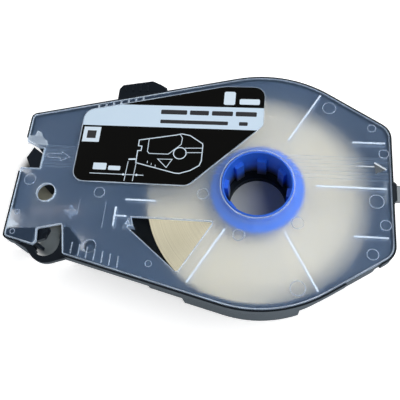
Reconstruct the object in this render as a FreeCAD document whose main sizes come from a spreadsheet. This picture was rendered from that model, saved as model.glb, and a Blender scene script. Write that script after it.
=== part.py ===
import FreeCAD, Part
import math
import os
import re
import Sketcher

# A label tape cassette: a black tray, a see-through cover, a blue reel on the tray's spindle ring,
# the wound tape, its free end in the nose, the face label and a short pull tab at the tail.
# The z axis is the reel's axis and z = 0 is the face that the cassette lies on.
# The nose points along -X.  Lengths are millimetres and angles are degrees.
SIZES = {
    "case_height": 22.5,
    "cover_thick": 1.6,
    "floor_thick": 1.6,
    "wall_thick": 1.2,
    "body_radius": 45.5,
    "taper_angle": 13.1,
    "shoulder_angle": 57.0,
    "nose_reach": 90.8,
    "tail_margin": 1.3,
    "nose_corner": 1.6,
    "tail_corner": 6.0,
    "seat_gap": 0.1,
    "rim_step": 0.7,
    "rim_height": 5.5,
    "rim_drop": 0.4,
    "rim_shelf": 0.9,
    "body_inset": 2.2,
    "side_start": 39.0,
    "side_step": 1.3,
    "grip_inset": 0.2,
    "grip_left": 25.0,
    "grip_right": 17.0,
    "edge_round": 0.4,
    "notch_top": 11.1,
    "notch_bottom": 1.95,
    "notch_depth": 7.8,
    "notch_slant": 2.6,
    "mouth_inset": 16.2,
    "mouth_rise": 4.9,
    "mouth_width": 9.7,
    "eye_radius": 3.6,
    "eye_inset": 12.3,
    "eye_y": -7.7,
    "loop_inset": 15.9,
    "loop_drop": 1.3,
    "loop_radius": 7.3,
    "loop_wall": 2.3,
    "loop_thick": 2.0,
    "window_top": 15.5,
    "window_margin": 10.4,
    "window_left": 44.6,
    "window_side": 4.6,
    "window_post_depth": 2.0,
    "spindle_bore": 11.1,
    "spindle_land": 3.0,
    "spindle_mouth": 12.0,
    "boss_radius": 13.4,
    "boss_height": 7.1,
    "turn_gap": 0.3,
    "hub_radius": 12.95,
    "hub_bore": 12.3,
    "hub_gap": 0.45,
    "collar_wall": 1.2,
    "collar_depth": 2.6,
    "tooth_count": 8,
    "tooth_width": 3.9,
    "tooth_reach": 1.5,
    "tooth_drop": 4.8,
    "tooth_phase": -5.7,
    "core_radius": 15.5,
    "flange_radius": 17.2,
    "flange_thick": 1.5,
    "flange_depth": 5.0,
    "rim_bevel": 0.25,
    "roll_clearance": 0.5,
    "roll_gap": 0.1,
    "tape_width": 6.0,
    "tape_base": 5.5,
    "tape_thick": 0.25,
    "guide_radius": 2.2,
    "guide_inset": 22.6,
    "guide_y": -6.0,
    "exit_angle": 186.5,
    "slot_width": 8.4,
    "slot_rise": 7.0,
    "peg_inset": 32.9,
    "peg_bore": 1.2,
    "peg_near": 5.7,
    "peg_far": 13.2,
    "rib_thick": 0.8,
    "rib_depth": 1.2,
    "rib_inner": 20.8,
    "rib_margin": 1.5,
    "side_rib_start": 33.5,
    "side_rib_y": 18.1,
    "stop_rise": 11.6,
    "stop_arm": 2.1,
    "stop_depth": 2.2,
    "reed_count": 7,
    "reed_pitch": 1.45,
    "reed_width": 0.6,
    "reed_depth": 0.25,
    "reed_start": 2.6,
    "tick_inset": 26.2,
    "tick_margin": 1.0,
    "tick_count": 7,
    "tick_pitch": 2.93,
    "tick_length": 4.2,
    "tick_width": 0.4,
    "label_inset": 21.2,
    "label_right": 1.0,
    "label_margin": 4.5,
    "label_bottom": 2.4,
    "label_edge": 2.2,
    "label_slant": 22.9,
    "label_corner": 4.5,
    "label_gap": 0.15,
    "label_thick": 0.15,
    "thumb_left": 57.5,
    "thumb_drop": 2.0,
    "thumb_rib_count": 4,
    "thumb_rib_width": 0.6,
    "thumb_rib_rise": 0.4,
    "finger_start": 7.2,
    "finger_length": 13.8,
    "tab_width": 6.3,
    "tab_thick": 1.3,
    "tab_reach": 5.2,
    "tab_y": -0.3,
    "tab_root": 1.0,
    "collar_width": 8.6,
    "collar_reach": 1.3,
    "overcut": 5.0,
}

doc = FreeCAD.newDocument("cassette")
sheet = doc.addObject("Spreadsheet::Sheet", "Sizes")


def fill_sheet():
    """One row per size: its name, and its value under that alias."""
    for row, (name, value) in enumerate(SIZES.items(), start=1):
        sheet.set(f"A{row}", name)
        sheet.set(f"B{row}", str(value))
        sheet.setAlias(f"B{row}", name)
    doc.recompute()


def formula(text):
    """An expression with each size's name led by its sheet."""
    return re.sub(r"[a-z_]+", lambda word: "Sizes." + word[0] if word[0] in SIZES else word[0], str(text))


def number(text):
    return float(sheet.evalExpression(formula(text)))


def bind(target, prop, text):
    target.setExpression(prop, formula(text))


def new_body(label):
    body = doc.addObject("PartDesign::Body", label)
    body.Label = label
    doc.recompute()
    return body


def new_sketch(body, label, height="0", plane="XY_Plane", turn=None):
    """A sketch on one of the body's own planes, lifted to a height and turned about z."""
    sketch = body.newObject("Sketcher::SketchObject", label)
    base = [item for item in body.Origin.OriginFeatures if item.Role == plane][0]
    sketch.AttachmentSupport = [(base, "")]
    sketch.MapMode = "FlatFace"
    bind(sketch, "AttachmentOffset.Base.z", height)
    if turn is not None:
        bind(sketch, "AttachmentOffset.Rotation.Angle", turn)
    return sketch


def place(sketch, geometry, point, x, y):
    """Dimension a point of the sketch from its origin."""
    for kind, text in (("DistanceX", x), ("DistanceY", y)):
        index = sketch.addConstraint(Sketcher.Constraint(kind, geometry, point, number(text)))
        bind(sketch, f"Constraints[{index}]", text)


def circle(sketch, x, y, radius):
    center = FreeCAD.Vector(number(x), number(y), 0)
    index = sketch.addGeometry(Part.Circle(center, FreeCAD.Vector(0, 0, 1), number(radius)), False)
    place(sketch, index, 3, x, y)
    size = sketch.addConstraint(Sketcher.Constraint("Radius", index, number(radius)))
    bind(sketch, f"Constraints[{size}]", radius)


def polygon(sketch, corners):
    """A closed outline: each corner is (x, y) if sharp and (x, y, radius) if rounded."""
    spots = [FreeCAD.Vector(number(corner[0]), number(corner[1]), 0) for corner in corners]
    starts, ends, arcs = [], [], []
    for index, corner in enumerate(corners):
        here = spots[index]
        back = (spots[index - 1] - here).normalize()
        ahead = (spots[(index + 1) % len(spots)] - here).normalize()
        if len(corner) == 2:
            starts.append(here)
            ends.append(here)
            arcs.append(None)
            continue
        radius = number(corner[2])
        half = back.getAngle(ahead) / 2
        middle = here + (back + ahead).normalize() * (radius / math.sin(half))
        enter = here + back * (radius / math.tan(half))
        leave = here + ahead * (radius / math.tan(half))
        left_turn = back.cross(ahead).z < 0
        first, last = (enter, leave) if left_turn else (leave, enter)
        angle = [math.atan2(end.y - middle.y, end.x - middle.x) for end in (first, last)]
        if angle[1] < angle[0]:
            angle[1] += 2 * math.pi
        ring = Part.Circle(middle, FreeCAD.Vector(0, 0, 1), radius)
        ends.append(enter)
        starts.append(leave)
        arcs.append((Part.ArcOfCircle(ring, angle[0], angle[1]), 1 if left_turn else 2))
    total = len(corners)
    lines = [sketch.addGeometry(Part.LineSegment(starts[index], ends[(index + 1) % total]), False)
             for index in range(total)]
    for index, corner in enumerate(corners):
        before, after = lines[index - 1], lines[index]
        if arcs[index] is None:
            sketch.addConstraint(Sketcher.Constraint("Coincident", before, 2, after, 1))
            place(sketch, after, 1, corner[0], corner[1])
            continue
        arc, side = arcs[index]
        bend = sketch.addGeometry(arc, False)
        spot = sketch.addGeometry(Part.Point(spots[index]), True)
        sketch.addConstraint([
            Sketcher.Constraint("Tangent", before, 2, bend, side),
            Sketcher.Constraint("Tangent", bend, 3 - side, after, 1),
            Sketcher.Constraint("PointOnObject", spot, 1, before),
            Sketcher.Constraint("PointOnObject", spot, 1, after),
        ])
        place(sketch, spot, 1, corner[0], corner[1])
        size = sketch.addConstraint(Sketcher.Constraint("Radius", bend, number(corner[2])))
        bind(sketch, f"Constraints[{size}]", corner[2])


def extrude(body, kind, sketch, length):
    """A pad or pocket of a sketch, upward from its plane."""
    feature = body.newObject("PartDesign::" + kind, sketch.Label + "_" + kind.lower())
    feature.Profile = sketch
    bind(feature, "Length", length)
    feature.Reversed = kind == "Pocket"
    feature.Refine = False
    doc.recompute()
    return feature


def pad(body, label, outlines, bottom, top, kind="Pad"):
    """A pad between two heights of one or more outlines, drawn in a single sketch."""
    sketch = new_sketch(body, label, bottom)
    for outline in outlines:
        polygon(sketch, outline)
    return extrude(body, kind, sketch, f"{top} - ({bottom})")


def cut(body, label, outlines, bottom, top):
    return pad(body, label, outlines, bottom, top, "Pocket")


def disc(body, label, spots, radius, bottom, top, kind="Pad"):
    """Round pads or pockets of one radius about one or more (x, y) spots."""
    sketch = new_sketch(body, label, bottom)
    for x, y in spots:
        circle(sketch, x, y, radius)
    return extrude(body, kind, sketch, f"{top} - ({bottom})")


def box(left, right, near, far):
    return [(left, near), (right, near), (right, far), (left, far)]


def moved(shape, x, y):
    """An outline's corners, given from a spot of their own, moved to that spot's place."""
    return [(f"({x} + ({corner[0]}))", f"({y} + ({corner[1]}))", *corner[2:]) for corner in shape]


def slope_y(x, grow="0"):
    """The upper long side of the outline at x, moved outward by grow."""
    return f"((body_radius + {grow} + ({x}) * sin(taper_angle)) / cos(taper_angle))"


def shoulder_y(x, grow="0"):
    """The upper tail side of the outline at x, moved outward by grow."""
    return f"((body_radius + {grow} - ({x}) * cos(shoulder_angle)) / sin(shoulder_angle))"


TAIL = "(body_radius + tail_margin)"
NOSE = "(-nose_reach)"


def case_outline(grow="0"):
    """The case seen from above: two long sides and two tail sides touch a circle about the reel."""
    middle = "((90 + taper_angle + shoulder_angle) / 2)"
    half = "((90 + taper_angle - shoulder_angle) / 2)"
    radius = f"(body_radius + {grow})"
    top_x = f"({radius} * cos({middle}) / cos({half}))"
    top_y = f"({radius} * sin({middle}) / cos({half}))"
    left = f"({NOSE} - ({grow}))"
    right = f"({TAIL} + ({grow}))"
    return [
        (right, f"-{shoulder_y(right, grow)}", f"tail_corner + {grow}"),
        (right, shoulder_y(right, grow), f"tail_corner + {grow}"),
        (top_x, top_y, radius),
        (left, slope_y(left, grow), f"max(nose_corner + {grow}; 0.3)"),
        (left, f"-{slope_y(left, grow)}", f"max(nose_corner + {grow}; 0.3)"),
        (top_x, f"-{top_y}", radius),
    ]


def notch_outline(grow="0"):
    """The step in the nose's left edge, with a slanted upper side, widened by grow."""
    left = f"({NOSE} - overcut)"
    inner = f"({NOSE} + notch_depth + {grow})"
    return [
        (left, f"notch_bottom - ({grow})"),
        (inner, f"notch_bottom - ({grow})"),
        (inner, f"notch_top + {grow}"),
        (f"{inner} - notch_slant", f"notch_top + {grow}"),
        (left, f"notch_top + notch_depth - notch_slant + {grow}"),
    ]


COVER_BOTTOM = "(case_height - cover_thick)"
RIM_BOTTOM = "(case_height - rim_height)"
RIM_TOP = "(case_height - rim_drop)"
BODY_GROW = "(rim_step - body_inset)"
CAVITY_GROW = "(rim_step - body_inset - wall_thick)"
FLANGE_TOP = "(case_height - flange_depth)"
TAPE_TOP = "(tape_base + tape_width)"
ROLL_RADIUS = f"(body_radius + {CAVITY_GROW} - roll_clearance)"
NOSE_Y = f"(-{slope_y(NOSE)})"
EYE_X = f"({NOSE} + eye_inset)"
MOUTH_X = f"({NOSE} + mouth_inset)"
MOUTH_Y = f"({NOSE_Y} + mouth_rise)"
LOOP_X = f"({NOSE} + loop_inset)"
LOOP_Y = f"({NOSE_Y} - loop_drop)"
SLOT_Y = f"({NOSE_Y} + slot_rise)"
GUIDE_X = f"({NOSE} + guide_inset)"
PEG_X = f"({NOSE} + peg_inset)"


def body_outline(grow):
    """The tray below its rim: as the case's outline, with both long sides set further in along the nose."""
    nose_grow = f"({grow} - side_step)"
    step_x = f"(-side_start - ({grow}) + {BODY_GROW})"
    side = [(step_x, slope_y(step_x, grow)), (step_x, slope_y(step_x, nose_grow))]
    tail_near, tail_far, top, left_far, left_near, low = case_outline(grow)
    y = slope_y(left_far[0], nose_grow)
    near_side = [(x, f"-{height}") for x, height in side[::-1]]
    return [tail_near, tail_far, top, *side, (left_far[0], y, left_far[2]), (left_far[0], f"-{y}", left_far[2]),
            *near_side, low]


def make_tray():
    """The black tray: floor, stepped wall, rim, spindle ring, open nose with its loop, tabs and guides."""
    body = new_body("base_tray")
    far = f"({TAIL} + overcut)"
    pad(body, "grip_band", [case_outline("(-grip_inset)")], "0", RIM_BOTTOM)
    cut(body, "grip_ends", [box(f"({NOSE} - overcut)", "-grip_left", f"-{far}", far),
        box("grip_right", far, f"-{far}", far)], "0", RIM_BOTTOM)
    pad(body, "lower_wall", [body_outline(BODY_GROW)], "0", RIM_BOTTOM)
    pad(body, "rim", [case_outline("rim_step")], RIM_BOTTOM, RIM_TOP)
    cut(body, "cavity", [body_outline(CAVITY_GROW)], "floor_thick", "case_height")
    cut(body, "rim_cavity", [case_outline("-rim_shelf")], f"{RIM_BOTTOM} + wall_thick", "case_height")
    cut(body, "cover_seat", [case_outline("seat_gap")], COVER_BOTTOM, "case_height")
    nose_cuts(body)
    nose_parts(body)
    spindle_ring(body)
    guides(body)
    tail_parts(body)
    return body


def nose_cuts(body):
    """What the nose leaves open: the left notch, the floor and wall under it, the tape slot and the mouth."""
    outside = f"({NOSE} - overcut)"
    cut(body, "notch", [notch_outline("wall_thick")], "0", "case_height")
    inner = f"({EYE_X} + seat_gap)"
    side_grow = f"({CAVITY_GROW} - side_step)"
    near_side = [(x, f"-{slope_y(x, side_grow)}") for x in (outside, inner)]
    cut(body, "nose_floor", [near_side + [(inner, "notch_bottom"), (outside, "notch_bottom")]],
        "0", f"{TAPE_TOP} + wall_thick")
    cut(body, "tape_slot", [box(outside, f"({NOSE} + overcut)", f"({SLOT_Y} - slot_width / 2)",
        f"({SLOT_Y} + slot_width / 2)")], f"{RIM_BOTTOM} - wall_thick", COVER_BOTTOM)
    cut(body, "mouth_floor", [box(f"({MOUTH_X} - mouth_width)", f"({MOUTH_X} + mouth_width * 0.7)",
        f"({NOSE_Y} - mouth_width)", f"({MOUTH_Y} + cover_thick)")], "0", "case_height")


# Corners of the nose's small parts, from the loop's centre, the nose's near corner or its notch.
LOOP_SHAPE = (("-16.3", "1.4"), ("-7.2", "-2.4"), ("-1.3", "-8.6", "loop_radius"), ("12.5", "-3.7"),
              ("12.5", "1.5"), ("7.6", "6.5"), ("-7.2", "5.2"), ("-16.3", "4.8"))
LOOP_TOOTH = (("-5.2", "-3.0"), ("-3.4", "-4.0"), ("-3.0", "-3.2"), ("-5.2", "-1.4"))
CATCH_SHAPE = (("-12.9", "2.2"), ("-5.3", "0.7"), ("-1.8", "2.3"), ("-0.7", "5.8"), ("-1.4", "6.9"),
               ("-12.9", "4.8"))
CORNER_POST = (("-0.4", "0.1"), ("3.4", "-1.0"), ("3.4", "3.5"), ("-0.4", "3.5"))
LEFT_POST = (("0.5", "5.2"), ("4.4", "-1.4"), ("11.5", "-1.4"), ("11.5", "4.0"), ("2.6", "9.9"))
POST_FOOT = (("5", "-1.4"), ("15.3", "-1.4"), ("15.3", "0.4"), ("5", "0.4"))


def nose_parts(body):
    """The loop that reaches out under the mouth, the catch in it, the corner post and the left post."""
    low = f"({COVER_BOTTOM} - loop_thick)"
    inner = "(loop_radius - loop_wall)"
    pad(body, "loop", [moved(LOOP_SHAPE, LOOP_X, LOOP_Y)], low, COVER_BOTTOM)
    disc(body, "loop_eye", [(LOOP_X, LOOP_Y)], inner, low, COVER_BOTTOM, "Pocket")
    cut(body, "loop_mouth", [moved(box(f"-{inner}", inner, "0", "loop_radius + overcut"), LOOP_X, LOOP_Y)],
        low, COVER_BOTTOM)
    pad(body, "loop_tooth", [moved(LOOP_TOOTH, LOOP_X, LOOP_Y)], low, COVER_BOTTOM)
    pad(body, "corner_post", [moved(CORNER_POST, NOSE, NOSE_Y)], "0", COVER_BOTTOM)
    pad(body, "catch", [moved(CATCH_SHAPE, LOOP_X, LOOP_Y)], f"{low} - loop_thick", low)
    pad(body, "left_post", [moved(LEFT_POST, NOSE, "notch_bottom")], "0", f"{COVER_BOTTOM} - turn_gap")
    pad(body, "post_foot", [moved(POST_FOOT, NOSE, "notch_bottom")], "0", "tape_base")


def spindle_ring(body):
    """The ring that carries the reel: a straight bore at the floor that opens upward as a cone."""
    disc(body, "spindle_boss", [("0", "0")], "boss_radius", "0", "boss_height")
    profile = new_sketch(body, "spindle_bore_profile", "0", "XZ_Plane")
    polygon(profile, [
        ("0", "-overcut"),
        ("spindle_bore", "-overcut"),
        ("spindle_bore", "spindle_land"),
        ("spindle_mouth", "boss_height"),
        ("spindle_mouth", "boss_height + overcut"),
        ("0", "boss_height + overcut"),
    ])
    bore = body.newObject("PartDesign::Groove", "spindle_bore_cut")
    bore.Profile = profile
    bore.ReferenceAxis = (profile, ["V_Axis"])
    bore.Angle = 360
    doc.recompute()


def guides(body):
    """The pin that the tape turns about, and two hollow pegs that carry the cover between reel and nose."""
    disc(body, "tape_guide", [(GUIDE_X, "guide_y")], "guide_radius", "0", f"{TAPE_TOP} + wall_thick")
    pegs = ((PEG_X, f"(peg_near - {slope_y(PEG_X)})"), (PEG_X, f"({slope_y(PEG_X)} - peg_far)"))
    disc(body, "cover_pegs", pegs, "guide_radius", "0", COVER_BOTTOM)
    disc(body, "peg_bores", pegs, "peg_bore", "floor_thick", COVER_BOTTOM, "Pocket")


# Corners of the ribbed tab, and the first of its ribs, from the spot where it leaves the long side.
THUMB_SHAPE = (("0", "-3.3"), ("19.4", "2.7"), ("19.4", "6.6"), ("16.6", "8.3"), ("13.2", "9.8", "1"),
               ("1.3", "7.6", "1"), ("0", "5.7"))
THUMB_RIB_X, THUMB_RIB_LOW, THUMB_RIB_HIGH = "2.4", "4.9", "7.6"


def tail_parts(body):
    """The ribbed tab at the far side, the finger cut in the near shoulder and the collar at the tail."""
    thumb_x = "(-thumb_left)"
    thumb_y = slope_y(thumb_x)
    tab_top = f"({RIM_TOP} - rim_drop / 2)"
    pad(body, "thumb_tab", [moved(THUMB_SHAPE, thumb_x, thumb_y)], f"{COVER_BOTTOM} - thumb_drop", tab_top)
    cut(body, "thumb_tab_seat", [case_outline("seat_gap")], COVER_BOTTOM, "case_height")
    ribs = []
    for index in range(SIZES["thumb_rib_count"]):
        left = f"({THUMB_RIB_X} + {index} * tick_pitch)"
        rib = box(left, f"({left} + thumb_rib_width)", THUMB_RIB_LOW, THUMB_RIB_HIGH)
        ribs.append(moved(rib, thumb_x, thumb_y))
    pad(body, "thumb_ribs", ribs, tab_top, f"{tab_top} + thumb_rib_rise")
    sketch = new_sketch(body, "finger_cut", RIM_BOTTOM, "XY_Plane", "-shoulder_angle")
    polygon(sketch, box("(body_radius + seat_gap)", "(body_radius + overcut)",
        "finger_start", "(finger_start + finger_length)"))
    extrude(body, "Pocket", sketch, "rim_height")
    half = "(collar_width / 2)"
    reach = "(rim_step + collar_reach)"
    collar = (("-rim_step", f"-{half} - collar_wall"), (reach, f"collar_wall - {half}"),
              (reach, f"{half} - collar_wall"), ("-rim_step", f"{half} + collar_wall"))
    pad(body, "tail_collar", [moved(collar, TAIL, "tab_y")], RIM_BOTTOM, COVER_BOTTOM)
    slot_low = f"({RIM_BOTTOM} + wall_thick)"
    slot_half = "(tab_width / 2 + seat_gap)"
    slot = box("(-rim_shelf - overcut)", "overcut", f"-{slot_half}", slot_half)
    cut(body, "tab_slot", [moved(slot, TAIL, "tab_y")], slot_low, f"{slot_low} + tab_thick + seat_gap")


# Corners of the cover's mouth, from the middle of its far side.
MOUTH_SHAPE = (("-4.5", "-1.2", "0.8"), ("4.9", "1.1", "0.8"), ("7.3", "-10.0", "2"), ("10.9", "-14"),
               ("-7.9", "-14"), ("-5.9", "-8.3", "0.6"), ("-3.7", "-6.3", "1.4"))


def make_cover():
    """The see-through cover: plate, notch, mouth, window, reel hole, label recess, reeds and ribs."""
    body = new_body("top_cover")
    pad(body, "plate", [case_outline()], COVER_BOTTOM, "case_height")
    round_top_edge(body)
    cut(body, "cover_notch", [notch_outline()], COVER_BOTTOM, "case_height")
    cut(body, "mouth", [moved(MOUTH_SHAPE, MOUTH_X, MOUTH_Y)], COVER_BOTTOM, "case_height")
    cut_window(body)
    center = [("0", "0")]
    collar_low = f"({COVER_BOTTOM} - collar_depth)"
    disc(body, "reel_collar", center, "(hub_radius + hub_gap + collar_wall)", collar_low, COVER_BOTTOM)
    disc(body, "reel_hole", center, "(hub_radius + hub_gap)", collar_low, "case_height", "Pocket")
    disc(body, "eye", [(EYE_X, "eye_y")], "eye_radius", COVER_BOTTOM, "case_height", "Pocket")
    cover_ribs(body)
    cut(body, "label_recess", [label_outline()], "(case_height - reed_depth)", "case_height")
    surface_grooves(body)
    return body


def round_top_edge(body):
    """A small round all along the cover's upper edge."""
    plate = body.Tip
    height = number("case_height - edge_round")
    names = [f"Edge{index}" for index, edge in enumerate(plate.Shape.Edges, start=1)
             if edge.BoundBox.ZMin > height]
    fillet = body.newObject("PartDesign::Fillet", "top_round")
    fillet.Base = (plate, names)
    bind(fillet, "Radius", "edge_round")
    body.Tip = fillet
    doc.recompute()


def surface_grooves(body):
    """Reeds along the cover from notch to tail, and short grip ticks inside both long sides."""
    grooves = []
    for index in range(SIZES["reed_count"]):
        near = f"(reed_start + {index} * reed_pitch)"
        hub_side = f"sqrt((hub_radius + hub_gap + reed_width)^2 - {near}^2)"
        label_side = f"({near} - label_slant + tick_margin)"
        for left, right in ((f"({NOSE} + notch_depth + reed_width)", f"({NOSE} + label_inset - tick_margin)"),
                            (label_side, f"-{hub_side}"),
                            (hub_side, f"({TAIL} - tick_margin)")):
            grooves.append(box(left, right, near, f"({near} + reed_width)"))
    for index in range(SIZES["tick_count"]):
        left = f"({NOSE} + tick_inset + {index} * tick_pitch)"
        outer = f"({slope_y(left)} - tick_margin)"
        far = box(left, f"({left} + tick_width)", f"({outer} - tick_length)", outer)
        near = box(left, f"({left} + tick_width)", f"(-{outer})", f"(tick_length - {outer})")
        grooves += [far, near]
    cut(body, "surface_grooves", grooves, "(case_height - reed_depth)", "case_height")


def label_outline(grow="0"):
    """The label: square corner at the shoulder, long sloped upper side and a slanted tail side."""
    left = f"({NOSE} + label_inset - ({grow}))"
    right = f"(label_right + {grow})"
    top = f"(body_radius - label_margin + {grow})"
    bottom = f"(-label_bottom - ({grow}))"
    slope = f"(-label_edge + {grow})"
    top_x = f"(({top} * cos(taper_angle) - body_radius - {slope}) / sin(taper_angle))"
    corner = f"label_corner + {grow}"
    slant = f"(label_slant - ({grow}) / sin(45))"
    return [
        (left, bottom, corner),
        (f"({bottom} - {slant})", bottom, corner),
        (right, f"({right} + {slant})", "2.5"),
        (right, top, corner),
        (top_x, top, "12"),
        (left, slope_y(left, slope), corner),
    ]


# Corners of the three-sided post and of its bore, from the window's left corner.
WINDOW_POST = (("-2.9", "-3.7"), ("1.4", "-3.7"), ("-0.8", "0.2"))
WINDOW_POST_BORE = (("-1.7", "-3.0"), ("0.2", "-3.0"), ("-0.8", "-1.2"))


def cut_window(body):
    """The open window onto the wound tape, with a three-sided hollow post in its left corner."""
    low_y = "(body_radius - window_margin)"
    side_x = "(-(window_top * tan(30) + window_side / cos(30)))"
    low_x = f"(-({low_y} * tan(30) + window_side / cos(30)))"
    corner = ("(-window_left)", "(-window_top)")
    cut(body, "window", [[
        corner,
        (side_x, "-window_top", "0.8"),
        (low_x, f"-{low_y}", "1"),
        *moved([("-1.6", "-3.5", "0.4"), ("1.1", "-3.4")], *corner),
    ]], COVER_BOTTOM, "case_height")
    low = f"({COVER_BOTTOM} - window_post_depth)"
    pad(body, "window_post", [moved(WINDOW_POST, *corner)], low, COVER_BOTTOM)
    cut(body, "window_post_bore", [moved(WINDOW_POST_BORE, *corner)], low, "case_height")


# The short rib beside the window (left, right, y) and the tee (x, y and its four arms).
SHORT_RIB = ("-47.5", "-36.3", "-8.9")
TEE_SHAPE = ("-50.7", "-15.4", "0", "4.5", "4", "3.4")


def cover_ribs(body):
    """Light ribs under the cover: three along radii, four along x, a tee and a cross-shaped stop."""
    half = "(rib_thick / 2)"
    tail = f"({TAIL} - rib_margin)"
    outlines = []
    for angle in (60, -60, -120):
        corners = box("rib_inner", "(body_radius - rib_margin)", f"-{half}", half)
        outlines.append([(f"({x} * cos({angle}) - ({y}) * sin({angle}))",
                          f"({x} * sin({angle}) + ({y}) * cos({angle}))") for x, y in corners])
    rows = (("rib_inner", tail, "0"), ("side_rib_start", tail, "side_rib_y"),
            ("side_rib_start", tail, "-side_rib_y"), SHORT_RIB)
    for left, right, y in rows:
        outlines.append(box(left, right, f"({y} - {half})", f"({y} + {half})"))
    outlines.append(cross(*TEE_SHAPE))
    pad(body, "ribs", outlines, f"({COVER_BOTTOM} - rib_depth)", COVER_BOTTOM)
    stop = cross(GUIDE_X, f"({NOSE_Y} + stop_rise)", "stop_arm", "stop_arm", "stop_arm", "stop_arm")
    pad(body, "stop", [stop], f"({COVER_BOTTOM} - stop_depth)", COVER_BOTTOM)


def cross(x, y, left, right, near, far):
    """A cross of rib thickness about (x, y) with arms of the lengths given, or a tee if one is 0."""
    half = "(rib_thick / 2)"
    outline = [
        (f"({x} - {half})", f"({y} - {near})"), (f"({x} + {half})", f"({y} - {near})"),
        (f"({x} + {half})", f"({y} - {half})"), (f"({x} + {right})", f"({y} - {half})"),
        (f"({x} + {right})", f"({y} + {half})"), (f"({x} + {half})", f"({y} + {half})"),
        (f"({x} + {half})", f"({y} + {far})"), (f"({x} - {half})", f"({y} + {far})"),
    ]
    if left != "0":
        outline += [
            (f"({x} - {half})", f"({y} + {half})"), (f"({x} - {left})", f"({y} + {half})"),
            (f"({x} - {left})", f"({y} - {half})"), (f"({x} - {half})", f"({y} - {half})"),
        ]
    return outline


def make_reel():
    """The blue reel: a tube with drive teeth, two flanges, and a deep seat over the tray's ring."""
    body = new_body("reel_hub")
    low_top = "(tape_base - turn_gap)"
    low = f"({low_top} - flange_thick)"
    shelf = "(boss_height + turn_gap)"
    seat = "(boss_radius + turn_gap)"
    profile = new_sketch(body, "reel_profile", "0", "XZ_Plane")
    polygon(profile, [
        (seat, low),
        ("flange_radius", low),
        ("flange_radius", low_top),
        ("core_radius", low_top),
        ("core_radius", f"{FLANGE_TOP} - flange_thick"),
        ("flange_radius", f"{FLANGE_TOP} - flange_thick"),
        ("flange_radius", f"{FLANGE_TOP} - rim_bevel"),
        ("flange_radius - rim_bevel", FLANGE_TOP),
        ("hub_radius", FLANGE_TOP),
        ("hub_radius", "case_height - rim_bevel"),
        ("hub_radius - rim_bevel", "case_height"),
        ("hub_bore + rim_bevel", "case_height"),
        ("hub_bore", "case_height - rim_bevel"),
        ("hub_bore", shelf),
        (seat, shelf),
    ])
    ring = body.newObject("PartDesign::Revolution", "reel_ring")
    ring.Profile = profile
    ring.ReferenceAxis = (profile, ["V_Axis"])
    ring.Angle = 360
    doc.recompute()
    sketch = new_sketch(body, "tooth", shelf, "XY_Plane", "tooth_phase")
    polygon(sketch, [
        ("(hub_bore + 0.2)", "-tooth_width / 2"),
        ("(hub_bore + 0.2)", "tooth_width / 2"),
        ("(hub_bore - tooth_reach)", "(tooth_width / 2 - rim_bevel)"),
        ("(hub_bore - tooth_reach)", "(rim_bevel - tooth_width / 2)"),
    ])
    tooth = extrude(body, "Pad", sketch, f"case_height - tooth_drop - {shelf}")
    teeth = body.newObject("PartDesign::PolarPattern", "drive_teeth")
    teeth.Originals = [tooth]
    teeth.Axis = (profile, ["V_Axis"])
    teeth.Angle = 360
    bind(teeth, "Occurrences", "tooth_count")
    body.Tip = teeth
    doc.recompute()
    return body


def make_roll():
    """The tape wound on the reel, its upper face slightly stepped where the turns have slid."""
    body = new_body("tape_roll")
    inner = "(core_radius + roll_gap)"
    slips = ("0.05", "0", "0.12", "0.04", "0.1")
    band = f"(({ROLL_RADIUS} - {inner}) / {len(slips)})"
    outline = [(ROLL_RADIUS, "tape_base"), (inner, "tape_base")]
    for index, slip in enumerate(slips):
        height = f"({TAPE_TOP} - {slip})"
        outline += [(f"({inner} + {index} * {band})", height), (f"({inner} + {index + 1} * {band})", height)]
    profile = new_sketch(body, "roll_profile", "0", "XZ_Plane")
    polygon(profile, outline)
    ring = body.newObject("PartDesign::Revolution", "roll_ring")
    ring.Profile = profile
    ring.ReferenceAxis = (profile, ["V_Axis"])
    ring.Angle = 360
    doc.recompute()
    return body


def make_leader():
    """The free end of the tape on edge: off the roll, about the guide pin and out through the nose."""
    body = new_body("tape_leader")
    far = f"sqrt({GUIDE_X}^2 + guide_y^2)"
    lean = f"acos(({ROLL_RADIUS} + guide_radius + 2 * turn_gap + tape_thick) / {far})"
    leave = f"(atan2(guide_y; {GUIDE_X}) - {lean})"
    away = "((exit_angle - 270) * 1 deg)"
    run = f"(({GUIDE_X} - {NOSE} - rim_step) / -cos(exit_angle))"

    def face(from_reel, from_pin):
        """One face of the strip: where it leaves the roll, its bend about the pin and its end."""
        bend = f"(({leave} + 180 deg - {away}) / 2)"
        middle = f"(({leave} + 180 deg + {away}) / 2)"
        reach = f"({from_pin} / cos({bend}))"
        return [
            (f"{from_reel} * cos({leave})", f"{from_reel} * sin({leave})"),
            (f"{GUIDE_X} + {reach} * cos({middle})", f"guide_y + {reach} * sin({middle})", from_pin),
            (f"{GUIDE_X} + {from_pin} * cos({away}) + {run} * cos(exit_angle)",
             f"guide_y + {from_pin} * sin({away}) + {run} * sin(exit_angle)"),
        ]

    near_pin = "(guide_radius + turn_gap)"
    near_roll = f"({ROLL_RADIUS} + turn_gap)"
    inner = face(f"({near_roll} + tape_thick)", near_pin)
    outer = face(near_roll, f"({near_pin} + tape_thick)")
    pad(body, "strip", [inner + outer[::-1]], "tape_base", TAPE_TOP)
    return body


def make_label():
    """The face label, sunk in the cover's recess."""
    body = new_body("face_label")
    floor = "(case_height - reed_depth)"
    pad(body, "label_sheet", [label_outline("(-label_gap)")], floor, f"{floor} + label_thick")
    return body


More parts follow.
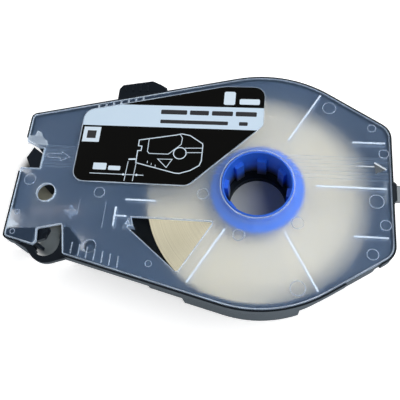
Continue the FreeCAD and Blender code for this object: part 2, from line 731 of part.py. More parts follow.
def make_pull_tab():
    """The short tab at the tail: a round-ended strip held in the collar's slot by a wider root."""
    body = new_body("pull_tab")
    low = f"({RIM_BOTTOM} + wall_thick + seat_gap / 2)"
    half = "(tab_width / 2)"
    round_end = "(tab_width / 2 - rim_step)"
    root = f"({TAIL} - rim_shelf - seat_gap)"
    pad(body, "strip", [[
        (f"({root} - tab_root / 2)", f"(tab_y - {half})"),
        (f"({TAIL} + tab_reach)", f"(tab_y - {half})", round_end),
        (f"({TAIL} + tab_reach)", f"(tab_y + {half})", round_end),
        (f"({root} - tab_root / 2)", f"(tab_y + {half})"),
    ]], low, f"{low} + tab_thick")
    wide = f"({half} + tab_root)"
    pad(body, "root", [box(f"({root} - tab_root)", root, f"(tab_y - {wide})", f"(tab_y + {wide})")],
        low, f"{low} + tab_thick")
    return body


def check(part):
    """Stop if any object of the document failed or the part has no sound solid."""
    for item in doc.Objects:
        if "Invalid" in item.State or "Error" in item.State:
            raise RuntimeError(f"{item.Label} failed: {item.State}")
    shape = part.Shape
    if shape.isNull() or not shape.isValid() or not shape.Solids:
        raise RuntimeError(f"{part.Label} has no sound solid")


os.makedirs("parts", exist_ok=True)
fill_sheet()
parts = [make_tray(), make_cover(), make_reel(), make_roll(), make_leader(), make_label(), make_pull_tab()]
for part in parts:
    check(part)
for part in parts:
    part.Shape.exportStep(f"parts/{part.Label}.step")
    print(part.Label, len(part.Shape.Solids), round(part.Shape.Volume, 1), part.Shape.BoundBox)
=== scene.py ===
import math
import bmesh
import bpy
from mathutils import Matrix, Vector


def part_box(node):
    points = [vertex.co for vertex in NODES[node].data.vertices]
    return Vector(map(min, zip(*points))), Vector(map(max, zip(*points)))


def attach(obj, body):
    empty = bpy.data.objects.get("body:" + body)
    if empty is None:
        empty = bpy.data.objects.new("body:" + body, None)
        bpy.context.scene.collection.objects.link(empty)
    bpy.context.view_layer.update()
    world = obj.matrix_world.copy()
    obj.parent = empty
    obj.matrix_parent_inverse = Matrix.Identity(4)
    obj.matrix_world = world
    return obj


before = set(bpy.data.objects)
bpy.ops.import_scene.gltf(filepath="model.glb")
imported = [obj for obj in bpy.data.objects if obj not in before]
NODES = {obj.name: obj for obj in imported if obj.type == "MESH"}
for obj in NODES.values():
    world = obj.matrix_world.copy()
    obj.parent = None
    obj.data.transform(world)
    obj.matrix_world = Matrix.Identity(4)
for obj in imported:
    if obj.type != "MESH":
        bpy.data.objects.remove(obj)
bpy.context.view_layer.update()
MM = 0.001
WHITE = (1.0, 1.0, 1.0)

# The cover, the reel and the tape, in metres
COVER_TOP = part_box("top_cover")[1].z
PLATE_THICK = 1.6 * MM
PLATE_LOW = COVER_TOP - PLATE_THICK
COLLAR_REACH = 15.5 * MM
HUB_BORE = 12.3 * MM
BORE_REACH = 12.5 * MM
ROLL_REACH = 42.3 * MM
GUIDE_X = -68.2 * MM

# The label and its pale band
LABEL_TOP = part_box("face_label")[1].z
BAND_LOW = 21.7 * MM
BAND_HIGH = 31.5 * MM

# Where the floor lies in shade: rectangles are their middle (x, y) and half sizes (x, y)
NOSE_BOX = (-75.0 * MM, 0.0, 16.0 * MM, 12.0 * MM)
NOSE_SHADE_BOX = (-76.0 * MM, 0.0, 19.0 * MM, 12.0 * MM)
LOOP_SPOT = (-81.5 * MM, -21.0 * MM)
EYE_SPOT = (-89.3 * MM, 1.5 * MM)


# Shaders

class Shader:
    """The nodes of a material or a world: add() makes one, and feed() sets or links one socket."""

    def __init__(self, owner):
        self.owner = owner
        owner.use_nodes = True
        self.tree = owner.node_tree
        self.tree.nodes.clear()
        self.places = self.add("ShaderNodeTexCoord")
        self.coords = self.places.outputs["Object"]

    def add(self, kind, props=None, **inputs):
        node = self.tree.nodes.new(kind)
        for key, value in (props or {}).items():
            setattr(node, key, value)
        for key, value in inputs.items():
            self.feed(node, key, value)
        return node

    def feed(self, node, key, value):
        """Set a socket by name (underscores stand for spaces) or by number (written _0, _1, ...)."""
        name = key.replace("_", " ").strip()
        socket = node.inputs[int(name)] if name.isdigit() else node.inputs[name]
        if isinstance(value, bpy.types.NodeSocket):
            self.tree.links.new(value, socket)
        elif hasattr(value, "__len__") and len(value) == 3 and socket.type == "RGBA":
            socket.default_value = (*value, 1.0)
        else:
            socket.default_value = value

    def math(self, operation, first, second=0.0):
        return self.add("ShaderNodeMath", {"operation": operation}, _0=first, _1=second).outputs[0]

    def ramp(self, value, low, high, start=0.0, end=1.0, kind="SMOOTHSTEP"):
        """A step from start to end, smooth if not told otherwise, as the value goes from low to high."""
        node = self.add("ShaderNodeMapRange", {"interpolation_type": kind}, Value=value)
        for key, number in (("From Min", low), ("From Max", high), ("To Min", start), ("To Max", end)):
            node.inputs[key].default_value = number
        return node.outputs[0]

    def color_mix(self, factor, first, second):
        """The Mix node keeps its colours at inputs 6 and 7 and its mixed colour at output 2."""
        return self.add("ShaderNodeMix", {"data_type": "RGBA"}, _0=factor, _6=first, _7=second).outputs[2]

    def noise(self, scale, detail=2.0, roughness=0.5, vector=None):
        node = self.add("ShaderNodeTexNoise", Vector=vector or self.coords, Scale=scale, Detail=detail,
                        Roughness=roughness)
        return node.outputs["Fac"]

    def split(self):
        """The x, y and z of the object's own coordinates, in metres."""
        node = self.add("ShaderNodeSeparateXYZ", _0=self.coords)
        return [node.outputs[name] for name in ("X", "Y", "Z")]

    def radius(self, x, y):
        return self.math("SQRT", self.math("ADD", self.math("MULTIPLY", x, x), self.math("MULTIPLY", y, y)))

    def spot_gap(self, x, y, spot):
        """The distance to one spot (x, y)."""
        return self.radius(self.math("SUBTRACT", x, spot[0]), self.math("SUBTRACT", y, spot[1]))

    def box_gap(self, x, y, box):
        """The distance to a rectangle given as its middle and half sizes, 0 inside it."""
        gaps = []
        for value, middle, half in ((x, box[0], box[2]), (y, box[1], box[3])):
            away = self.math("ABSOLUTE", self.math("SUBTRACT", value, middle))
            gaps.append(self.math("MAXIMUM", self.math("SUBTRACT", away, half), 0.0))
        return self.radius(gaps[0], gaps[1])

    def bump(self, height, strength, distance, normal=None):
        node = self.add("ShaderNodeBump", Strength=strength, Distance=distance, Height=height)
        if normal is not None:
            self.feed(node, "Normal", normal)
        return node.outputs["Normal"]

    def soft_edge(self, radius):
        """A normal that rounds the hard edges of a moulding."""
        return self.add("ShaderNodeBevel", {"samples": 4}, Radius=radius).outputs["Normal"]

    def shade_mix(self, factor, first, second):
        return self.add("ShaderNodeMixShader", _0=factor, _1=first, _2=second).outputs[0]

    def first_sight(self):
        """1 where the camera, a mirror or a clear piece looks straight at a surface, 0 for other light."""
        path = self.add("ShaderNodeLightPath")
        seen = self.math("MAXIMUM", path.outputs["Is Camera Ray"], path.outputs["Is Glossy Ray"])
        seen = self.math("MAXIMUM", seen, path.outputs["Is Transmission Ray"])
        return self.math("MULTIPLY", seen, self.math("LESS_THAN", path.outputs["Diffuse Depth"], 0.5))

    def finish(self, surface, output="ShaderNodeOutputMaterial"):
        self.add(output, Surface=surface)
        return self.owner


def new_material(name):
    return Shader(bpy.data.materials.new(name))


def black_plastic():
    """Moulded black plastic: a dull gloss, a fine spark-eroded grain and rounded edges."""
    look = new_material("black_case")
    grain = look.noise(2600.0, 3.0, 0.6)
    cloud = look.noise(45.0)
    normal = look.bump(grain, 0.25, 0.04 * MM, look.soft_edge(0.25 * MM))
    color = look.color_mix(cloud, (0.0020, 0.0036, 0.0068), (0.0032, 0.0052, 0.0090))
    shell = look.add("ShaderNodeBsdfPrincipled", Base_Color=color, Roughness=0.6, Normal=normal)
    shell.inputs["Specular IOR Level"].default_value = 0.0
    rough = look.ramp(cloud, 0.3, 0.7, 0.24, 0.34)
    gloss = look.add("ShaderNodeBsdfAnisotropic", Color=(0.78, 0.90, 1.0), Roughness=rough, Normal=normal)
    grazing = look.add("ShaderNodeLayerWeight", Normal=normal).outputs["Facing"]
    sheen = look.ramp(grazing, 0.30, 1.0, 0.010, 0.14)
    return look.finish(look.shade_mix(sheen, shell.outputs[0], gloss.outputs[0]))


def smoky_cover():
    """See-through smoky plastic: a frosted, bluish haze, with painted highlight making it whiter on its side
    faces and its ribs.
    """
    look = new_material("smoky_cover")
    x, y, height = look.split()
    radius = look.radius(x, y)
    outward = look.add("ShaderNodeNewGeometry").outputs["Normal"]
    facing = look.add("ShaderNodeSeparateXYZ", _0=outward).outputs["Z"]
    # Painted highlight: side faces, and the ribs below the plate, get a paler and stronger haze; less on the
    # reel's collar and low down.
    painted_side_light = look.math("SUBTRACT", 1.0, look.ramp(look.math("ABSOLUTE", facing), 0.35, 0.85))
    painted_side_light = look.math("MULTIPLY", painted_side_light, look.ramp(radius, COLLAR_REACH, COLLAR_REACH + MM, 0.1, 0.85))
    painted_side_light = look.math("MULTIPLY", painted_side_light, look.ramp(height, PLATE_LOW - 0.3 * MM, PLATE_LOW, 0.15, 1.0))
    rib = look.ramp(height, PLATE_LOW - 0.04 * MM, PLATE_LOW - 0.01 * MM, 0.10, 0.0)
    cloud = look.noise(30.0, 3.0)
    normal = look.bump(look.noise(1500.0), 0.12, 0.03 * MM)
    pale = look.math("MAXIMUM", painted_side_light, rib)
    haze_and_side_light = look.math("ADD", look.math("MULTIPLY", pale, 0.45), look.ramp(cloud, 0.3, 0.7, 0.062, 0.074))
    haze_color = look.color_mix(pale, (0.32, 0.56, 1.0), (0.68, 0.84, 1.0))
    haze = look.add("ShaderNodeBsdfDiffuse", Color=haze_color, Normal=normal).outputs[0]
    tint = (0.965, 0.955, 0.935)
    clear = look.add("ShaderNodeBsdfPrincipled", Base_Color=tint, Roughness=0.58, Normal=normal)
    clear.inputs["IOR"].default_value = 1.20
    clear.inputs["Transmission Weight"].default_value = 1.0
    clear.inputs["Specular IOR Level"].default_value = 0.1
    body = look.shade_mix(haze_and_side_light, clear.outputs[0], haze)
    to_lamp = look.add("ShaderNodeLightPath").outputs["Is Shadow Ray"]
    pass_through = look.add("ShaderNodeBsdfTransparent", Color=(0.86, 0.86, 0.86)).outputs[0]
    return look.finish(look.shade_mix(to_lamp, body, pass_through))


def blue_reel():
    """Bright blue moulded plastic with a satin surface, navy where little light reaches down its bore."""
    look = new_material("blue_reel")
    x, y, height = look.split()
    inside = look.ramp(look.radius(x, y), HUB_BORE + 0.1 * MM, HUB_BORE + 0.3 * MM, 1.0, 0.0)
    deep = look.ramp(height, COVER_TOP - 15.0 * MM, COVER_TOP - 8.0 * MM, 0.98, 0.0)
    cloud = look.noise(60.0)
    normal = look.bump(look.noise(2200.0), 0.15, 0.03 * MM, look.soft_edge(0.2 * MM))
    color = look.color_mix(cloud, (0.018, 0.125, 0.68), (0.026, 0.165, 0.80))
    color = look.color_mix(look.math("MULTIPLY", inside, deep), color, (0.0004, 0.0010, 0.010))
    shell = look.add("ShaderNodeBsdfPrincipled", Base_Color=color, Roughness=0.32, Normal=normal)
    shell.inputs["Specular IOR Level"].default_value = 0.4
    return look.finish(shell.outputs[0])


def wound_tape():
    """Cream tape wound on edge: fine turns by radius, and painted shade that darkens it by the wall at the
    tail.
    """
    look = new_material("wound_tape")
    x, y, _ = look.split()
    radius = look.radius(x, y)
    along = look.add("ShaderNodeCombineXYZ", X=radius, Y=0.0, Z=0.0).outputs[0]
    turns = look.noise(9000.0, 2.0, 0.7, along)
    bands = look.noise(2400.0, 2.0, 0.6, along)
    sweep = look.noise(22.0)
    fine = look.math("ADD", look.math("MULTIPLY", turns, 0.6), look.math("MULTIPLY", bands, 0.4))
    color = look.color_mix(look.ramp(fine, 0.36, 0.6), (0.49, 0.44, 0.30), (0.68, 0.63, 0.46))
    color = look.color_mix(look.ramp(sweep, 0.35, 0.7, 0.0, 0.4), color, (0.76, 0.72, 0.58))
    # Painted shade: the turns near the rim darken on the tail side, as if shaded by the wall there.
    painted_rim_shade = look.ramp(radius, 33.0 * MM, 42.5 * MM, 0.0, 0.8)
    tail = look.math("MULTIPLY", look.ramp(x, -10.0 * MM, 30.0 * MM), painted_rim_shade)
    color = look.color_mix(tail, color, (0.10, 0.10, 0.09))
    normal = look.bump(fine, 0.6, 0.09 * MM)
    shell = look.add("ShaderNodeBsdfPrincipled", Base_Color=color, Roughness=0.45, Normal=normal)
    return look.finish(shell.outputs[0])


def tape_strip():
    """The tape's free end: painted shade darkens it from the roll to the guide, and its cream face shows
    beyond.
    """
    look = new_material("tape_strip")
    x = look.split()[0]
    cloud = look.noise(60.0)
    face = look.color_mix(cloud, (0.27, 0.22, 0.18), (0.32, 0.26, 0.22))
    # Painted shade: a dark grey-green stands for the shadow on the strip between the roll and the guide.
    painted_shade = look.color_mix(cloud, (0.045, 0.055, 0.055), (0.060, 0.072, 0.070))
    color = look.color_mix(look.ramp(x, GUIDE_X - MM, GUIDE_X + MM), face, painted_shade)
    shell = look.add("ShaderNodeBsdfPrincipled", Base_Color=color, Roughness=0.5)
    return look.finish(shell.outputs[0])


def film(look, color, roughness, specular):
    """Film of one colour or pattern, with a fine orange peel."""
    normal = look.bump(look.noise(900.0), 0.05, 0.02 * MM)
    shell = look.add("ShaderNodeBsdfPrincipled", Base_Color=color, Roughness=roughness, Normal=normal)
    shell.inputs["Specular IOR Level"].default_value = specular
    return look.finish(shell.outputs[0])


def ink(name, first, second):
    """A print's nearly flat colour."""
    look = new_material(name)
    return film(look, look.color_mix(look.noise(120.0), first, second), 0.4, 0.3)


def face_film():
    """The label: black film with one pale bluish band across it."""
    look = new_material("label_print")
    y = look.split()[1]
    band = look.math("MULTIPLY", look.math("GREATER_THAN", y, BAND_LOW), look.math("LESS_THAN", y, BAND_HIGH))
    cloud = look.noise(120.0)
    black = look.color_mix(cloud, (0.0016, 0.0016, 0.0014), (0.0024, 0.0024, 0.0022))
    pale = look.color_mix(cloud, (0.64, 0.79, 0.93), (0.68, 0.82, 0.95))
    return film(look, look.color_mix(band, black, pale), 0.30, 0.04)


def grey_tab():
    """Glossy grey plastic of the pull tab."""
    look = new_material("grey_tab")
    color = look.color_mix(look.noise(200.0), (0.14, 0.17, 0.19), (0.22, 0.26, 0.28))
    normal = look.bump(look.noise(1200.0), 0.06, 0.03 * MM, look.soft_edge(0.3 * MM))
    shell = look.add("ShaderNodeBsdfPrincipled", Base_Color=color, Roughness=0.18, Normal=normal)
    return look.finish(shell.outputs[0])


def pale_floor():
    """The white table; under the cassette, and close beside its open nose, it lies in grey shade."""
    look = new_material("pale_floor")
    x, y, _ = look.split()
    radius = look.radius(x, y)
    nose_gap = look.box_gap(x, y, NOSE_BOX)
    loop_gap = look.spot_gap(x, y, LOOP_SPOT)
    eye_gap = look.spot_gap(x, y, EYE_SPOT)

    under_reel = look.ramp(radius, ROLL_REACH - 4.3 * MM, ROLL_REACH - 0.3 * MM, 1.0, 0.0)
    by_nose = look.ramp(look.box_gap(x, y, NOSE_SHADE_BOX), 4.0 * MM, 10.0 * MM, 1.0, 0.0)
    in_loop = look.ramp(loop_gap, 4.5 * MM, 9.0 * MM, 1.0, 0.0)
    in_eye = look.ramp(eye_gap, 4.5 * MM, 7.5 * MM, 1.0, 0.0)
    in_bore = look.ramp(radius, BORE_REACH, BORE_REACH + 0.5 * MM, 1.0, 0.0)
    under_nose = look.ramp(nose_gap, 0.0, 2.0 * MM, 0.8, 0.0)
    under_nose = look.math("MULTIPLY", under_nose, look.math("SUBTRACT", 1.0, in_eye))
    shade = look.math("MAXIMUM", look.math("MAXIMUM", under_reel, by_nose), in_loop)

    cloud = look.noise(6.0)
    white = look.color_mix(cloud, (0.90, 0.90, 0.90), (0.93, 0.93, 0.93))
    grey = look.color_mix(cloud, (0.09, 0.094, 0.088), (0.105, 0.108, 0.10))
    # Painted shade: near black under the nose, and a lighter grey where the eye hole and the loop look down
    # to the table.
    grey = look.color_mix(in_eye, grey, (0.20, 0.20, 0.16))
    grey = look.color_mix(in_loop, grey, (0.125, 0.145, 0.155))
    grey = look.color_mix(under_nose, grey, (0.01, 0.01, 0.012))
    color = look.color_mix(shade, white, grey)
    color = look.color_mix(in_bore, color, (0.80, 0.84, 0.80))

    matt = look.add("ShaderNodeBsdfDiffuse", Color=color).outputs[0]
    glow = look.add("ShaderNodeEmission", Color=WHITE, Strength=0.55).outputs[0]
    both = look.add("ShaderNodeAddShader", _0=matt, _1=glow).outputs[0]
    lift = look.math("MULTIPLY", look.first_sight(), look.math("SUBTRACT", 1.0, shade))
    return look.finish(look.shade_mix(lift, matt, both))


# Mesh helpers

def new_object(name, bm, material, body="case"):
    """A scene piece from a mesh under construction, riding on a body when one is given."""
    mesh = bpy.data.meshes.new(name)
    bmesh.ops.recalc_face_normals(bm, faces=bm.faces)
    bm.to_mesh(mesh)
    bm.free()
    piece = bpy.data.objects.new(name, mesh)
    bpy.context.scene.collection.objects.link(piece)
    mesh.materials.append(material)
    if body:
        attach(piece, body)
    return piece


def prism(bm, corners, bottom, top):
    """A closed prism over an outline of (x, y) in millimetres, between two heights in metres."""
    low = [bm.verts.new((x * MM, y * MM, bottom)) for x, y in corners]
    high = [bm.verts.new((x * MM, y * MM, top)) for x, y in corners]
    bm.faces.new(low[::-1])
    bm.faces.new(high)
    for index in range(len(corners)):
        after = (index + 1) % len(corners)
        bm.faces.new((low[index], low[after], high[after], high[index]))


def bar(x0, y0, x1, y1, cut=0.25):
    """A bar's outline with small cut corners."""
    return [(x0 + cut, y0), (x1 - cut, y0), (x1, y0 + cut), (x1, y1 - cut),
            (x1 - cut, y1), (x0 + cut, y1), (x0, y1 - cut), (x0, y0 + cut)]


def line(bm, points, width, bottom, top, closed=False):
    """A ribbon of one width along a polyline, mitred at its corners, as a closed solid."""
    spots = [Vector(point) for point in points]
    total = len(spots)
    left, right = [], []
    for index, spot in enumerate(spots):
        steps = []
        if closed or index > 0:
            steps.append((spot - spots[index - 1]).normalized())
        if closed or index < total - 1:
            steps.append((spots[(index + 1) % total] - spot).normalized())
        run = sum(steps, Vector((0.0, 0.0))).normalized()
        side = Vector((-run.y, run.x))
        mitre = max(0.4, abs(side.dot(Vector((-steps[0].y, steps[0].x)))))
        left.append(spot + side * width / 2 / mitre)
        right.append(spot - side * width / 2 / mitre)
    rows = []
    for pair in zip(left, right):
        corners = [(spot.x * MM, spot.y * MM, height) for spot in pair for height in (bottom, top)]
        rows.append([bm.verts.new(corner) for corner in corners])
    for index in range(total if closed else total - 1):
        one = rows[index]
        two = rows[(index + 1) % total]
        bm.faces.new((one[1], two[1], two[3], one[3]))
        bm.faces.new((one[0], one[2], two[2], two[0]))
        bm.faces.new((one[0], two[0], two[1], one[1]))
        bm.faces.new((one[2], one[3], two[3], two[2]))
    if not closed:
        for row in (rows[0], rows[-1]):
            bm.faces.new((row[0], row[1], row[3], row[2]))


def ring_points(x, y, radius, steps=36):
    angles = [2 * math.pi * step / steps for step in range(steps)]
    return [(x + radius * math.cos(angle), y + radius * math.sin(angle)) for angle in angles]


# Label print

# Heights are in metres, and the lines' widths in millimetres
PRINT_LOW = LABEL_TOP - 0.01 * MM
PRINT_TOP = LABEL_TOP + 0.02 * MM
DOT_TOP = PRINT_TOP + 0.005 * MM
CODE_TOP = PRINT_TOP + 0.01 * MM
THIN = 0.36
FINE = 0.26

# The line drawing of a cassette and its dimension, as (x, y) in millimetres
CASE_LINES = [(-45.9, 15.8), (-45.9, 13.3), (-44.5, 13.2), (-44.6, 11.3), (-45.9, 11.2), (-45.9, 6.1),
              (-30.8, 2.5), (-28.9, 2.4), (-25.0, 3.8), (-21.8, 6.0), (-21.2, 7.9), (-21.2, 14.4),
              (-21.4, 15.2), (-26.5, 18.5), (-29.7, 19.1), (-31.9, 18.5)]
REEL_RING = (-29.6, 10.8, 2.4)
INNER_LABEL = [(-42.1, 16.4), (-42.1, 11.1), (-41.3, 10.2), (-34.0, 10.2), (-29.5, 14.5), (-29.3, 17.3),
               (-30.3, 18.8)]
WINDOW_LINES = [(-37.7, 8.0), (-32.2, 8.1), (-34.1, 4.6)]
REED_LINES = [[(-27.9, 13.0), (-21.4, 13.3)], [(-27.6, 11.1), (-21.2, 11.4)]]
TAPE_END = [(-48.9, 7.4), (-46.2, 7.6)]
TICK_LINES = [(-41.5, 6.1), (-39.9, 5.3), (-38.3, 4.6)]
DIMENSION = [(-63.0, 1.0), (-42.3, 1.0)]
DIMENSION_ENDS = (-49.1, -45.9)
DIMENSION_DOTS = (-50.0, -44.9)

# Bars in the places of words and numerals: left, bottom, right, top and, if given, cut corner
CODE_FIELD = (-68.6, 14.3, -61.8, 20.9, 0.05)
CODE_SQUARE = (-67.0, 15.9, -63.4, 19.3, 0.05)
PALE_BARS = [(-62.2, 2.6, -57.0, 5.4), (-56.2, 2.6, -51.5, 4.4), CODE_FIELD,
             (-14.8, 32.6, -10.4, 38.6, 0.5), (-8.7, 32.9, -0.9, 35.4, 0.4)]
DARK_BARS = [(-39.0, 27.6, -28.7, 29.6), (-27.6, 27.6, -20.2, 29.6), (-19.0, 27.6, -10.9, 29.6),
             (-9.8, 27.6, -1.8, 29.6), (-38.8, 23.5, -12.5, 25.1), (-8.3, 23.5, -5.0, 25.1)]


def white_print():
    """All pale print: the line drawing, its dimension, the code field and the pale bars."""
    bm = bmesh.new()
    line(bm, CASE_LINES, THIN, PRINT_LOW, PRINT_TOP, True)
    line(bm, ring_points(*REEL_RING), THIN, PRINT_LOW, PRINT_TOP, True)
    line(bm, WINDOW_LINES, FINE, PRINT_LOW, PRINT_TOP, True)
    for points in (INNER_LABEL, *REED_LINES):
        line(bm, points, FINE, PRINT_LOW, PRINT_TOP)
    line(bm, TAPE_END, 0.6, PRINT_LOW, PRINT_TOP)
    for x, y in TICK_LINES:
        line(bm, [(x, y), (x, y + 0.9)], 0.2, PRINT_LOW, PRINT_TOP)
    line(bm, DIMENSION, FINE, PRINT_LOW, PRINT_TOP)
    for x in DIMENSION_ENDS:
        line(bm, [(x + 0.2, 6.5), (x - 0.2, -1.6)], 0.24, PRINT_LOW, PRINT_TOP)
    for x in DIMENSION_DOTS:
        prism(bm, ring_points(x, DIMENSION[0][1], 0.45, 12), PRINT_LOW, DOT_TOP)
    for sides in PALE_BARS:
        prism(bm, bar(*sides), PRINT_LOW, PRINT_TOP)
    white = ink("white_ink", (0.70, 0.82, 0.93), (0.74, 0.86, 0.96))
    new_object("label_white_print", bm, white)


def dark_print():
    """The dark bars on the pale band and the code field's square."""
    bm = bmesh.new()
    for sides in DARK_BARS:
        prism(bm, bar(*sides), PRINT_LOW, PRINT_TOP)
    prism(bm, bar(*CODE_SQUARE), PRINT_LOW, CODE_TOP)
    dark = ink("dark_ink", (0.006, 0.007, 0.010), (0.012, 0.013, 0.016))
    new_object("label_dark_print", bm, dark)


# Cover marks

# Heights in metres
MARK_LOW = COVER_TOP - 0.02 * MM
MARK_TOP = COVER_TOP + 0.02 * MM
ARROW_TOP = COVER_TOP + 0.03 * MM
GLINT_LOW = COVER_TOP - 0.9 * MM
GLINT_TOP = COVER_TOP - 0.5 * MM
EDGE_LOW = COVER_TOP - 0.25 * MM
EDGE_TOP = COVER_TOP + 0.01 * MM
RIB_CORE_LOW = COVER_TOP - 0.60 * MM
RIB_CORE_TOP = COVER_TOP - 0.12 * MM

# Rings left by the mould: x, y and radius in millimetres
EJECTOR_RINGS = [(-85.8, -2.8, 2.2), (-57.8, -6.7, 2.0), (-57.9, -27.5, 2.4), (-87.7, -16.1, 0.9),
                 (-87.8, -23.8, 0.9), (25.2, 32.3, 2.4), (40.5, 24.1, 1.45), (44.4, 13.7, 1.7),
                 (41.4, -5.0, 2.5), (44.2, -13.6, 1.8), (39.6, -24.2, 1.9), (-19.3, -5.3, 2.0),
                 (-5.4, -20.1, 2.0), (14.7, -14.5, 2.1), (15.3, -37.4, 2.5), (-35.8, -32.5, 1.1)]
MOULD_LINES = [[(-64.6, -15.9), (-64.6, -9.4)], [(-54.6, -20.5), (-54.6, -10.4)]]
LEFT_ARROW = [(-81.0, 6.9), (-81.0, 8.6), (-75.8, 8.4), (-75.5, 9.5), (-72.0, 7.2), (-75.4, 5.5),
              (-75.6, 6.7), (-81.0, 6.9)]
RIGHT_ARROW_SHAFT = [(35.1, 8.4), (41.0, 8.4)]
RIGHT_ARROW_HEAD = [(41.0, 10.0), (45.1, 7.4), (41.3, 5.6)]
GLINTS = [[(-90.4, 12.6), (-90.6, 16.4), (-88.3, 16.3), (-87.7, 18.6), (-86.0, 18.1), (-84.9, 15.8),
           (-82.7, 14.2), (-81.9, 12.1)],
          [(-90.6, -18.4), (-86.1, -20.8), (-90.4, -22.8)]]

# A loop of the cover narrower than this, in millimetres, is a scale mark with one line of light
EDGE_LEAST = 1.5
# Where x + y, in metres, goes from near to far, the edges' light fades to a share of its strength
EDGE_FADE = (12.0 * MM, 35.0 * MM, 0.25)

# The ribs' middle lines, and the start and end of those along radii, in millimetres
RIB_CORES = [[(-36.3, -8.9), (-47.5, -8.9)], [(20.8, 0.0), (45.1, 0.0)], [(33.5, 18.1), (45.1, 18.1)],
             [(33.5, -18.1), (45.1, -18.1)], [(-50.7, -19.4), (-50.7, -12.0)],
             [(-50.7, -15.4), (-46.2, -15.4)]]
RADIAL_RIBS = (60, -60, -120)
RADIAL_RIB_START = 20.8
RADIAL_RIB_END = 43.9


def mark_and_light_sheet(name, first, second, least, most, fade=None):
    """A see-through sheet for the mould's marks and for painted highlights: part colour, part clear, a little
    uneven, and with a fade the painted light grows fainter to the far tail.
    """
    look = new_material(name)
    cloud = look.noise(160.0)
    amount = look.ramp(cloud, 0.3, 0.7, least, most)
    if fade:
        near, far, left = fade
        x, y, _ = look.split()
        # Painted light: the sheet grows fainter along x + y, from the lit near side to the far side.
        amount = look.math("MULTIPLY", amount, look.ramp(look.math("ADD", x, y), near, far, 1.0, left))
    color = look.color_mix(cloud, first, second)
    matt = look.add("ShaderNodeBsdfPrincipled", Base_Color=color, Roughness=0.4).outputs[0]
    thin = look.add("ShaderNodeBsdfTransparent", Color=WHITE).outputs[0]
    return look.finish(look.shade_mix(amount, thin, matt))


def cover_marks():
    """Faint raised marks of the mould: rings, thin lines and the left arrow."""
    bm = bmesh.new()
    for ring in EJECTOR_RINGS:
        line(bm, ring_points(*ring), 0.28, MARK_LOW, MARK_TOP, True)
    line(bm, LEFT_ARROW, 0.36, MARK_LOW, MARK_TOP)
    for points in MOULD_LINES:
        line(bm, points, 0.2, MARK_LOW, MARK_TOP)
    faint = mark_and_light_sheet("mould_mark", (0.38, 0.48, 0.64), (0.55, 0.66, 0.82), 0.25, 0.5)
    new_object("mould_marks", bm, faint)


def right_arrow():
    """The raised arrow at the tail: pale lines and a grey head."""
    bm = bmesh.new()
    line(bm, RIGHT_ARROW_SHAFT, 0.45, MARK_LOW, MARK_TOP)
    line(bm, RIGHT_ARROW_HEAD[:2], 0.60, MARK_LOW, ARROW_TOP)
    bright = mark_and_light_sheet("arrow_mark", (0.70, 0.78, 0.86), (0.85, 0.91, 0.97), 0.7, 0.95)
    new_object("arrow_lines", bm, bright)
    bm = bmesh.new()
    prism(bm, RIGHT_ARROW_HEAD, MARK_LOW, MARK_TOP)
    grey = mark_and_light_sheet("arrow_grey", (0.03, 0.045, 0.06), (0.045, 0.06, 0.08), 0.96, 1.0)
    new_object("arrow_head", bm, grey)


def corner_glints():
    """Two pale corners of the nose, where light gathers in the cover's edge."""
    bm = bmesh.new()
    for corners in GLINTS:
        prism(bm, corners, GLINT_LOW, GLINT_TOP)
    pale = mark_and_light_sheet("corner_glint", (0.50, 0.58, 0.66), (0.62, 0.70, 0.78), 0.20, 0.55)
    new_object("corner_glints", bm, pale)


def top_loops(node, height):
    """The closed edges of a node's flat faces at one height: lists of (x, y) in millimetres."""
    mesh = NODES[node].data
    edges = {}
    for face in mesh.polygons:
        spots = [mesh.vertices[index].co for index in face.vertices]
        if all(abs(spot.z - height) < 0.01 * MM for spot in spots):
            ring = [(round(spot.x / MM, 3), round(spot.y / MM, 3)) for spot in spots]
            for pair in zip(ring, ring[1:] + ring[:1]):
                edges.setdefault(frozenset(pair), []).append(pair)
    ahead = dict(pairs[0] for pairs in edges.values() if len(pairs) == 1)
    loops = []
    while ahead:
        spot = next(iter(ahead))
        loop = []
        while spot in ahead:
            loop.append(spot)
            spot = ahead.pop(spot)
        loops.append(loop)
    return loops


def edge_lights():
    """Light caught by the cut edges of the cover: its outline, holes, label recess and scale marks."""
    bm = bmesh.new()
    for loop in top_loops("top_cover", COVER_TOP):
        left, right = min(x for x, y in loop), max(x for x, y in loop)
        low, high = min(y for x, y in loop), max(y for x, y in loop)
        if min(right - left, high - low) > EDGE_LEAST:
            line(bm, loop, 0.30, EDGE_LOW, EDGE_TOP, True)
        elif high - low > right - left:
            middle = (left + right) / 2
            line(bm, [(middle, low), (middle, high)], 0.24, EDGE_LOW, EDGE_TOP)
    bright = mark_and_light_sheet("edge_light", (0.60, 0.72, 0.86), (0.76, 0.86, 0.96), 0.25, 0.60, EDGE_FADE)
    new_object("edge_lights", bm, bright)


def rib_cores():
    """The ribs' pale cores: light gathers in a thick rib, so it shows brighter than the plate."""
    bm = bmesh.new()
    for points in RIB_CORES:
        line(bm, points, 0.60, RIB_CORE_LOW, RIB_CORE_TOP)
    for angle in RADIAL_RIBS:
        along = Vector((math.cos(math.radians(angle)), math.sin(math.radians(angle))))
        line(bm, [along * RADIAL_RIB_START, along * RADIAL_RIB_END], 0.60, RIB_CORE_LOW, RIB_CORE_TOP)
    core = mark_and_light_sheet("rib_core", (0.62, 0.74, 0.90), (0.78, 0.88, 0.98), 0.45, 0.65)
    new_object("rib_cores", bm, core)


# Stage, light and camera

# The floor's half side is in millimetres, as an outline is, and its thickness in metres
FLOOR_HALF = 1200.0
FLOOR_THICK = 20.0 * MM
MIDDLE = (-20.0 * MM, 0.0, 0.0)

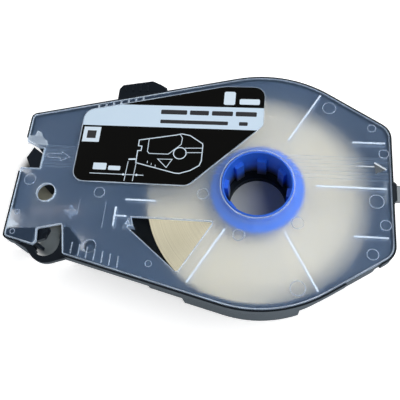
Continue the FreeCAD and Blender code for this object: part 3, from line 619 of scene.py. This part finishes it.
# Lamps: name, place and size in metres, and power in watts
LAMPS = [("key", (0.65, 0.14, 0.73), (1.2, 0.9), 9.8),
         ("fill", (-0.72, 0.30, 0.50), (0.6, 0.5), 1.4),
         ("front", (0.15, -0.80, 0.38), (0.9, 0.3), 1.0)]

CAMERA_SPOT = Vector((4.219 * MM, -78.009 * MM, COVER_TOP + 171.628 * MM))
CAMERA_PITCH = 66.586
CAMERA_ROLL = -14.704
CAMERA_YAW = -19.113
LENS_MM = 46.8
SENSOR_MM = 36.0


def make_floor():
    """The table: a wide slab whose top is the plane that the cassette lies on."""
    bm = bmesh.new()
    half = FLOOR_HALF
    prism(bm, [(-half, -half), (half, -half), (half, half), (-half, half)], -FLOOR_THICK, 0.0)
    new_object("floor", bm, pale_floor(), body=None)


def area_lamp(name, spot, size, power):
    data = bpy.data.lights.new(name, "AREA")
    data.shape = "RECTANGLE"
    data.size, data.size_y = size
    data.energy = power
    lamp = bpy.data.objects.new(name, data)
    bpy.context.scene.collection.objects.link(lamp)
    lamp.location = spot
    aim = Vector(MIDDLE) - Vector(spot)
    lamp.rotation_euler = aim.to_track_quat("-Z", "Y").to_euler()


def make_world():
    """A soft studio: pale low down, dim overhead, and plain white where the camera looks past the table."""
    world = bpy.data.worlds.new("studio")
    bpy.context.scene.world = world
    look = Shader(world)
    height = look.add("ShaderNodeSeparateXYZ", _0=look.places.outputs["Generated"]).outputs["Z"]
    strength = look.ramp(height, 0.1, 0.85, 0.60, 0.10, "LINEAR")
    dim = look.add("ShaderNodeBackground", Color=(0.93, 0.96, 1.0), Strength=strength).outputs[0]
    white = look.add("ShaderNodeBackground", Color=WHITE, Strength=1.0).outputs[0]
    look.finish(look.shade_mix(look.first_sight(), dim, white), "ShaderNodeOutputWorld")


def turn(angle):
    """A turn about the third axis."""
    across, along = math.cos(math.radians(angle)), math.sin(math.radians(angle))
    return Matrix(((across, -along, 0.0), (along, across, 0.0), (0.0, 0.0, 1.0)))


def make_camera():
    """The photograph's view: rows of the turn are the picture's right, down and forward."""
    level, steep = math.cos(math.radians(CAMERA_PITCH)), math.sin(math.radians(CAMERA_PITCH))
    tilt = Matrix(((1.0, 0.0, 0.0), (0.0, -steep, -level), (0.0, level, -steep)))
    right, down, forward = turn(CAMERA_ROLL) @ tilt @ turn(CAMERA_YAW)
    data = bpy.data.cameras.new("camera")
    data.lens = LENS_MM
    data.sensor_width = SENSOR_MM
    data.clip_start = 0.01
    data.clip_end = 20.0
    camera = bpy.data.objects.new("camera", data)
    bpy.context.scene.collection.objects.link(camera)
    axes = Matrix((right, -down, -forward)).transposed().to_4x4()
    camera.matrix_world = Matrix.Translation(CAMERA_SPOT) @ axes
    bpy.context.scene.camera = camera


def dress(node, material):
    """Give a carried-over node its finish."""
    piece = NODES[node]
    piece.data.materials.clear()
    piece.data.materials.append(material)


bpy.context.scene.view_settings.view_transform = "Standard"
dress("base_tray", black_plastic())
dress("top_cover", smoky_cover())
dress("reel_hub", blue_reel())
dress("tape_roll", wound_tape())
dress("tape_leader", tape_strip())
dress("face_label", face_film())
dress("pull_tab", grey_tab())

white_print()
dark_print()
cover_marks()
right_arrow()
corner_glints()
edge_lights()
rib_cores()

make_floor()
make_world()
for lamp in LAMPS:
    area_lamp(*lamp)
make_camera()
